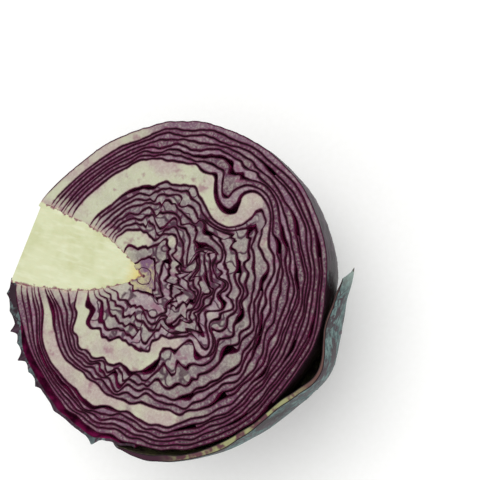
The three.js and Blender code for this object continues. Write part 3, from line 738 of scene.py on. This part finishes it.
# %% Bloomed skin of the outer leaves: its facts and patterns
bloom_skin, tree, known = new_material("waxy_outer_skin", ["vein", "torn", "bare", "tip"])
place = known["place"]
wide = add(tree, {"Vector": place, "Scale": METRE / 22.0, "Detail": 4.0, "Roughness": 0.6}, **NOISE)
fine = add(tree, {"Vector": place, "Scale": METRE / 3.0, "Detail": 4.0, "Roughness": 0.65}, **NOISE)
warp = add(tree, {"Vector": place, "Scale": METRE / 5.0, "Detail": 3.0}, output=1, **NOISE)
warp = add(tree, {0: warp, "Scale": 6 * MM}, kind="ShaderNodeVectorMath", operation="SCALE")
warped = add(tree, [place, warp], kind="ShaderNodeVectorMath", operation="ADD")
flake = add(tree, {"Vector": warped, "Scale": METRE / 9.0}, output="Color", **CELLS)
flake = add(tree, [flake], kind="ShaderNodeSeparateColor")
cracks = add(tree, {"Vector": warped, "Scale": METRE / 8.0}, feature="DISTANCE_TO_EDGE", **CELLS)

# %% Bloomed skin: how much wax is left, and the colours
amount = add(tree, [wide, 1.1], **TIMES)
for value, weight in [(flake, 0.35), (fine, 0.35), (known["vein"], -0.5), (known["bare"], -0.3)]:
    amount = add(tree, [value, weight, amount], operation="MULTIPLY_ADD", **MATH)
cracked = add(tree, [cracks, 0.0, 0.05, -0.35, 0.0], **RAMP)
amount = add(tree, [amount, cracked], **PLUS)
bloom = add(tree, [amount, 0.8, 1.0], **RAMP)
patchy = add(tree, [wide, 0.35, 0.65], **RAMP)
under = add(tree, [patchy, colour("#181116"), colour("#301A28")], **MIX)
under = add(tree, [known["vein"], under, colour("#4A3A46")], **MIX)
cloudy = add(tree, [fine, 0.3, 0.7], **RAMP)
wax = add(tree, [cloudy, colour("#3D5253"), colour("#738B88")], **MIX)
waxed = add(tree, [bloom, 0.85], **TIMES)
outer_colour = add(tree, [waxed, under, wax], **MIX)
outer_colour = add(tree, [known["torn"], outer_colour, colour("#3E2632")], **MIX)
dried = add(tree, [known["tip"], 0.7], **TIMES)
outer_colour = add(tree, [dried, outer_colour, colour("#93A39B")], **MIX)
dull = add(tree, [bloom, 0.25, 0.42], operation="MULTIPLY_ADD", **MATH)
finish(tree, outer_colour, dull, fine, 0.4, 0.6 * MM, 0.16)

# %% [markdown]
# The inner side of the loose wrapper has seen some light, so it is dull yellow-green with purple patches.

# %% Green inner side of the wrapper
green_side, tree, known = new_material("green_wrapper_inside", (), [("wide", 12.0, 4.0), ("fine", 2.0, 3.0)])
patchy = add(tree, [known["wide"], 0.35, 0.65], **RAMP)
green = add(tree, [patchy, colour("#6F7444"), colour("#4A3A3C")], **MIX)
specks = add(tree, [known["fine"], 0.4, 0.75, 0.0, 0.5], **RAMP)
green = add(tree, [specks, green, colour("#A9AC78")], **MIX)
finish(tree, green, 0.5, known["fine"], 0.3, 0.5 * MM, 0.4)

# %% [markdown]
# The loose wrapper's cut rim is thin and dry. Going round it, it is dark near the core, yellow-green in
# the middle and brown towards the torn tip.

# %% Rim of the loose wrapper
wrapper_rim, tree, known = new_material("dry_wrapper_rim", ["around"], [("streak", 4.0, 4.0)])
streaky = add(tree, [known["streak"], 0.4, 0.6], **RAMP)
dry = add(tree, [streaky, colour("#8E8F66"), colour("#5A3A40")], **MIX)
past_dark = add(tree, [known["around"], 0.62, 0.7], **RAMP)
dry = add(tree, [past_dark, colour("#3A1E2C"), dry], **MIX)
near_tip = add(tree, [known["around"], 0.86, 0.93], **RAMP)
dry = add(tree, [near_tip, dry, colour("#5E443F")], **MIX)
past_skin = add(tree, [depth_from_skin(tree), 0.2, 0.6], **RAMP)
rim_colour = add(tree, [past_skin, colour("#1E1418"), dry], **MIX)
finish(tree, rim_colour, 0.5, known["streak"], 0.3, 0.6 * MM, 0.16)

# %% [markdown]
# ## Veins of the outer leaves
#
# A leaf's midrib runs from the core towards the top of the head. Side veins leave it by turns, bend towards
# the top and fork again. Each vein is walked in small steps over the round head, and the outer face is then
# lifted where it comes near a vein.

# %% Walking the veins
from mathutils.kdtree import KDTree

VEIN_STEP = 1.0
VEIN_RADIUS = 78
MM_PER_DEGREE = 1.36
MIDRIB_LENGTH = 205.0
MIDRIB_WIDTH = 2.6


def walk(rng, theta, beta, heading, length, width, level, found):
    bend_rate = rng.normal(0, 0.5)
    side = rng.choice([-1, 1])
    until = rng.uniform(5, 12)
    settle = heading * 0.35
    travelled = 0.0
    while travelled < length and 4 < theta < 176:
        heading += (settle - heading) * 0.022 + bend_rate * 0.3 + rng.normal(0, 0.9)
        theta += VEIN_STEP / MM_PER_DEGREE * math.cos(math.radians(heading))
        sideways = VEIN_STEP / MM_PER_DEGREE * math.sin(math.radians(heading))
        beta += sideways / max(math.sin(math.radians(theta)), 0.12)
        travelled += VEIN_STEP
        found.append((theta, beta, width * (1 - 0.6 * travelled / length)))
        if level < 3 and travelled > until:
            until += rng.uniform(6, 11) * (1.3 if level == 0 else 1.0)
            side = -side
            reach = (length - travelled) * (0.62 if level == 0 else 0.45) + 8
            turned = heading + side * rng.uniform(34, 52)
            walk(rng, theta, beta, turned, reach, width * 0.52, level + 1, found)


def vein_lift(midrib, seed, phi, dip):
    rng = np.random.default_rng(seed)
    found = []
    walk(rng, 8.0, midrib, 0.0, MIDRIB_LENGTH, MIDRIB_WIDTH, 0, found)
    values = np.array(found)
    theta, beta = np.radians(values[:, 0]), np.radians(values[:, 1])
    spots = np.stack([-np.cos(theta), np.sin(theta) * np.cos(beta), -np.sin(theta) * np.sin(beta)], -1)
    spots = spots * VEIN_RADIUS
    tree = KDTree(len(spots))
    for i, point in enumerate(spots):
        tree.insert(point, i)
    tree.balance()
    x, y, z = spot(VEIN_RADIUS, phi, dip)
    lift, vein = np.zeros(phi.shape), np.zeros(phi.shape)
    for index in np.ndindex(phi.shape):
        best, line = 0.0, 0.0
        for _, i, distance in tree.find_n((x[index], y[index], z[index]), 4):
            width = max(values[i, 2], 0.7)
            near = math.exp(-((distance / (0.62 * width)) ** 2))
            best = max(best, near * width * 0.34)
            line = max(line, near)
        lift[index], vein[index] = best, line
    print("vein points", len(found), "seed", seed)
    return lift, vein


# %% [markdown]
# ## Building the leaves
#
# The two faces of a leaf come from its shares. Flesh that is thick or near the core is pale, and flesh
# near the rim is stained. The three outermost leaves get a finer grid and veins, and the two wrappers
# stand away from the head and have torn rims.

# %% Outer leaves: veins, flares and torn rims
FINE_ROWS = {
    "wrapper_loose": list(np.linspace(0, 1, 104) ** 1.08 * 90),
    "wrapper_torn": list(np.linspace(0, 1, 66) ** 1.1 * 54) + [60, 70, 80, 90],
    "leaf_u1": list(np.linspace(0, 1, 72) ** 1.1 * 54) + [60, 70, 80, 90],
}
FLARE = 9
TORN_STANDOFF = 2.8
TORN_BULGE = 4.2
FINE_COLUMNS = {"wrapper_loose": 400, "wrapper_torn": 200, "leaf_u1": 330}
MIDRIBS = {"wrapper_loose": (112, 5), "wrapper_torn": (166, 11), "leaf_u1": (14, 23)}
# The half rests where its lowest 1.3 mm are cut flat
FLAT_CUT = 1.3
# Spikes of the torn wrapper's rim: degrees round the head, mm
RAGGED = [(8, 1.6), (17, 0.8), (27, 3.4), (34, 1.0), (42, 3.8), (50, 1.2), (58, 1.8), (70, 0.8), (88, 2.4)]


def outer_shape(name, a, phi, dip):
    rise, vein = vein_lift(*MIDRIBS[name], phi, dip)
    rise = rise * smooth(0, 4, dip + 2)
    torn = np.zeros(a.shape)
    if name == "wrapper_torn":
        for at, size in RAGGED:
            rise = rise + size * np.clip(1 - np.abs(a - at) / 3.2, 0, 1) ** 1.5 * np.exp(-((dip / 5) ** 2))
        rise = rise + TORN_BULGE * np.exp(-(((a - 15) / 13) ** 2)) * np.exp(-(((dip - 3.2) / 3.4) ** 2))
        torn = np.exp(-((dip / 1.2) ** 2)) * 0.3
    return rise, vein, torn


def stand_away(name, a, dip):
    if name == "wrapper_loose":
        return FLARE * smooth(178, 200, a) * np.exp(-(((dip - 4) / 10) ** 2))
    if name == "wrapper_torn":
        return TORN_STANDOFF * smooth(20, 40, a) * smooth(104, 84, a) * np.exp(-((dip / 9) ** 2))
    return 0.0


print(len(RAGGED), "torn spikes")

# %% Build every leaf
COLUMN_MM = 0.62
PLAIN_PALE = 0.22
RIM_TAPER = 1.7
TAPER_OVER = 14
bodies = {}
for k, item in enumerate(LEAVES):
    name = item["name"]
    rows = FINE_ROWS.get(name, ROWS)
    reach = closed_curve(HEAD_RADII, np.array(0.0)) * (1 - 0.026 * k)
    length = item["end"] * math.radians(1) * reach
    columns = FINE_COLUMNS.get(name, int(max(120, min(360, length / COLUMN_MM))))
    a, phi, dip, beta = grid_of(item, rows, columns)
    share = shares(phi, dip)
    lift, more = 0.0, {}
    if name in MIDRIBS:
        lift, vein, torn = outer_shape(name, a, phi, dip)
        more = {"vein": vein, "torn": torn}
    flare = stand_away(name, a, dip)
    taper = 0.0
    if k == 0:
        above_seam = smooth(item["closed"], item["closed"] - SEAM_BLEND, dip)
        taper = RIM_TAPER * smooth(TAPER_OVER, 0, a - leaf_start(item, dip)) * above_seam
    outer, from_skin = leaf_face(k, 0, phi, dip, beta, share, lift + flare - taper)
    inner, _ = leaf_face(k, 1, phi, dip, beta, share, flare)
    if k == 0:
        outer[..., 2] = np.maximum(outer[..., 2], -HEAD_DEPTH + FLAT_CUT)
    thick = true_thickness(outer, inner)
    out = share[k].mean(0)
    pale_share = 1.0 if name == "leaf_u1" else PLAIN_PALE
    for rib_name, _, widths in RIBS:
        if name == rib_name:
            pale_share = PLAIN_PALE + (1 - PLAIN_PALE) * smooth(0.035, 0.065, along(widths, phi))
    pale = np.maximum(pale_share * smooth(2.4, 4.8, thick), 0.7 * smooth(11, 1, from_skin))
    if name == "leaf_u1":
        pale = pale * (1 - smooth(66, 92, a))
    stain = 0.1 + 0.95 * smooth(0.45, 0.92, out)
    inner_zone = (1 - smooth(0.5, 0.62, out)) * smooth(3, 8, from_skin) * (not name.startswith("rib"))
    dark = smooth(0.74, 0.98, out) * smooth(62, 34, np.abs(phi + 24))
    bare = smooth(80, 52, np.abs(phi)) * smooth(44, 22, dip) * (name == "leaf_u1")
    more.update({"pale": pale, "stain": stain, "inner": inner_zone, "dark": dark, "bare": bare,
                 "tip": smooth(189, 198, a) * smooth(30, 20, dip) * (k == 0)})
    cut = {0: wrapper_rim, 1: bloom_skin}.get(k, cut_flesh)
    outside = bloom_skin if name in MIDRIBS else leaf_skin
    inside = green_side if k == 0 else leaf_skin
    closed_from = int(np.argmax(np.array(rows) > 48)) if item["closed"] else None
    piece = build_sheet(name + "_sheet", item, a, outer, inner, from_skin, more, k,
                        [outside, inside, cut, outside if k == 0 else leaf_skin], closed_from)
    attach(piece, "root")
    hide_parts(name)
    bodies[name] = piece
print("leaf triangles:", sum(2 * len(piece.data.polygons) for piece in bodies.values()))

# %% [markdown]
# ## The core
#
# The core is one solid of cream flesh, half round behind and flat on the cut, with its base end trimmed a
# little askew. The flat side is a grid of its own, so that the finish knows how far the skin is. Its fibres
# run along it, so one pattern is stretched four times that way.

# %% Finish of the core
core_cut, tree, known = new_material(
    "core_cut_flesh", ["edge", "back"], [("join", 2.4, 3.0), ("broad", 14.0, 3.0), ("fine", 1.4, 3.0)])
stretch = add(tree, {"Vector": known["place"], "Scale": (0.25, 1.0, 1.0)}, kind="ShaderNodeMapping")
strand = add(tree, {"Vector": stretch, "Scale": METRE / 2.2, "Detail": 3.0, **GRAIN}, **NOISE)
ragged = add(tree, [known["join"], 0.3, 0.7, -0.8, 0.9], **RAMP)
edge = add(tree, [known["edge"], ragged], **PLUS)
patchy = add(tree, [known["broad"], 0.35, 0.65], **RAMP)
body_colour = add(tree, [patchy, colour("#C6C9A6"), colour("#B9BC92")], **MIX)
strands = add(tree, [strand, 0.45, 0.75, 0.0, 0.45], **RAMP)
near_tip = add(tree, [known["back"], 11.0, 1.0], **RAMP)
near_skin = add(tree, [edge, 1.0, -0.2, 0.0, 0.9], **RAMP)
for share_of, tint in [(strands, colour("#D6D9C0")), (near_tip, colour("#C8B86E")), (near_skin, FRINGE)]:
    body_colour = add(tree, [share_of, body_colour, tint], **MIX)
sheen = add(tree, [known["fine"], 0.3, 0.7, 0.4, 0.55], **RAMP)
finish(tree, body_colour, sheen, known["fine"], 0.2, 0.4 * MM, 0.2, soft=0.15)

# %% [markdown]
# Behind and at the trimmed base the core has a rough, slightly brown rind.

# %% Rough skin of the core
core_skin, tree, known = new_material("core_rough_skin", (), [("broad", 8.0, 3.0), ("fine", 1.2, 4.0)])
patchy = add(tree, [known["broad"], 0.3, 0.7], **RAMP)
rind = add(tree, [patchy, colour("#C9C39A"), colour("#A99B7E")], **MIX)
specks = add(tree, [known["fine"], 0.5, 0.75, 0.0, 0.6], **RAMP)
rind = add(tree, [specks, rind, colour("#7E6A58")], **MIX)
finish(tree, rind, 0.65, known["fine"], 0.5, 0.8 * MM, 0.3)


# %% Core
FLAT_POINTS = 41
ROUND_POINTS = 24
BASE_TILT = 0.125
BASE_DISH = 0.5


def core_mesh():
    stations = np.concatenate([np.linspace(-CORE_LENGTH, -60, 6), np.linspace(-59, 0, 60)])
    flat = np.linspace(-1, 1, FLAT_POINTS)
    under = np.linspace(0, 180, ROUND_POINTS + 2)[1:-1]
    ring = []
    edge = []
    for x in stations:
        radius = core_radius(-x)
        y = np.concatenate([radius * flat, radius * np.cos(np.radians(under))])
        z = np.concatenate([-0.02 - 0.1 * smooth(2.5, 0, radius * (1 - np.abs(flat))),
                            -radius * np.sin(np.radians(under))])
        tilt = BASE_TILT * y * smooth(50, 64, -x)
        ring.append(bend(x + tilt, y, z))
        edge.append(np.concatenate([radius * (1 - np.abs(flat)), np.zeros(len(under))]))
    ring, edge = np.array(ring), np.array(edge)
    n, m = ring.shape[:2]
    ids = np.arange(n * m).reshape(n, m)
    wrapped = np.concatenate([ids, ids[:, :1]], 1)
    faces = [quads(wrapped, True)]
    kinds = [np.where(np.tile(np.arange(m), n - 1) < FLAT_POINTS - 1, 0, 1)]
    points = [ring.reshape(-1, 3)]
    back_mm = np.repeat(-stations, m)
    edges = edge.ravel()
    base = ring[0]
    middle = base.mean(0)
    inner_ids = []
    for share_in in (0.82, 0.6, 0.35, 0.15):
        start = sum(len(p) for p in points)
        dish = np.array([BASE_DISH * (1 - share_in), 0, 0])
        points.append(middle + (base - middle) * share_in + dish)
        inner_ids.append(np.arange(start, start + m))
    loops = [ids[0]] + inner_ids
    for first, second in zip(loops, loops[1:]):
        pair = np.stack([np.append(first, first[0]), np.append(second, second[0])])
        faces.append(quads(pair))
        kinds.append(np.full(m, 2))
    total = sum(len(p) for p in points)
    points.append(middle[None] + np.array([[BASE_DISH, 0, 0]]))
    last = loops[-1]
    hub = np.stack([last, np.roll(last, -1), np.full(m, total), np.full(m, total)], -1)
    return np.concatenate(points), np.concatenate(faces), np.concatenate(kinds), hub, back_mm, edges


points, faces, kinds, hub, back_mm, edges = core_mesh()
extra = len(points) - len(back_mm)
facts = {"edge": np.append(edges, np.zeros(extra)), "back": np.append(back_mm, np.full(extra, CORE_LENGTH))}
all_faces = [tuple(face) for face in faces] + [tuple(face[:3]) for face in hub]
core = make_mesh("core_body", points, all_faces, np.append(kinds, np.full(len(hub), 2)), facts,
                 [core_cut, core_skin, core_skin])
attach(core, "root")
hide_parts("core")
print("core faces:", len(core.data.polygons))

# %% [markdown]
# ## The heart
#
# The smallest leaves sit round the core's tip like the layers of a bud. Two curled sheets, one inside the
# other and joined into one piece, stand for them.

# %% Heart
heart_parts = []
for j in range(2):
    item = leaf("heart_leaf", 1 if j % 2 else -1, 0.9, 345 - 12 * j)
    a, phi, dip, beta = grid_of(item, ROWS, 90)
    faces_of_leaf = []
    for depth in (0.0, 0.94):
        radius = HEART_RADIUS * (1 - (j + depth) / 2.1) + 0.1
        radius = radius * (1 + 0.16 * wander(np.radians(phi), 70, (2, 5, 9)) * (1 - radius / 7.4)) + 0 * a
        turned, dipped = direction(phi, dip, beta, radius, SUNK_ANGLES)
        faces_of_leaf.append(bend(*spot(radius, turned, dipped)))
    skin_mm = a * np.radians(1) * 4 - 1
    heart_parts.append(build_sheet("heart_part", item, a, *faces_of_leaf, skin_mm, {}, 60 + j,
                                   [leaf_skin, leaf_skin, heart_flesh, leaf_skin]))
bpy.ops.object.select_all(action="DESELECT")
for part in heart_parts:
    part.select_set(True)
bpy.context.view_layer.objects.active = heart_parts[0]
bpy.ops.object.join()
heart = heart_parts[0]
heart.name = "heart_bud"
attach(heart, "root")
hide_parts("heart")
print("heart faces:", len(heart.data.polygons))

# %% [markdown]
# ## Floor and light
#
# The half lies on a plain pale floor. Two suns with very wide discs stand in for large soft lamps: one
# nearly overhead, and a weaker one from the side of the head's top. An even white surround fills the
# shadows.

# %% Floor
floor_finish, tree, known = new_material("pale_paper_floor", (), [("paper", 3.0, 3.0)])
paper_colour = add(tree, [known["paper"], colour("#F6F6F4"), colour("#FBFBFA")], **MIX)
finish(tree, paper_colour, 0.9, known["paper"], 0.05, 0.2 * MM, 0.1)
floor_mesh = bpy.data.meshes.new("floor")
floor_mesh.from_pydata([(-3, -3, 0), (3, -3, 0), (3, 3, 0), (-3, 3, 0)], [], [(0, 1, 2, 3)])
floor_mesh.materials.append(floor_finish)
floor = bpy.data.objects.new("floor", floor_mesh)
bpy.context.collection.objects.link(floor)


# %% Lamps and surround
def lamp(name, place, softness, strength):
    data = bpy.data.lights.new(name, "SUN")
    data.angle = math.radians(softness)
    data.energy = strength
    light = bpy.data.objects.new(name, data)
    bpy.context.collection.objects.link(light)
    light.location = place
    light.rotation_mode = "QUATERNION"
    light.rotation_quaternion = (Vector((0, 0, 0.04)) - Vector(place)).to_track_quat("-Z", "Y")
    print(name, "strength", strength)


lamp("key_lamp", (-0.1, 0.6, 1.4), 50, 1.0)
lamp("fill_lamp", (1.4, -0.5, 1.0), 70, 0.45)
world = bpy.data.worlds.new("surround")
world.use_nodes = True
world.node_tree.nodes["Background"].inputs["Color"].default_value = (1, 1, 1, 1)
world.node_tree.nodes["Background"].inputs["Strength"].default_value = 0.88
bpy.context.scene.world = world
bpy.context.scene.view_settings.view_transform = "Standard"
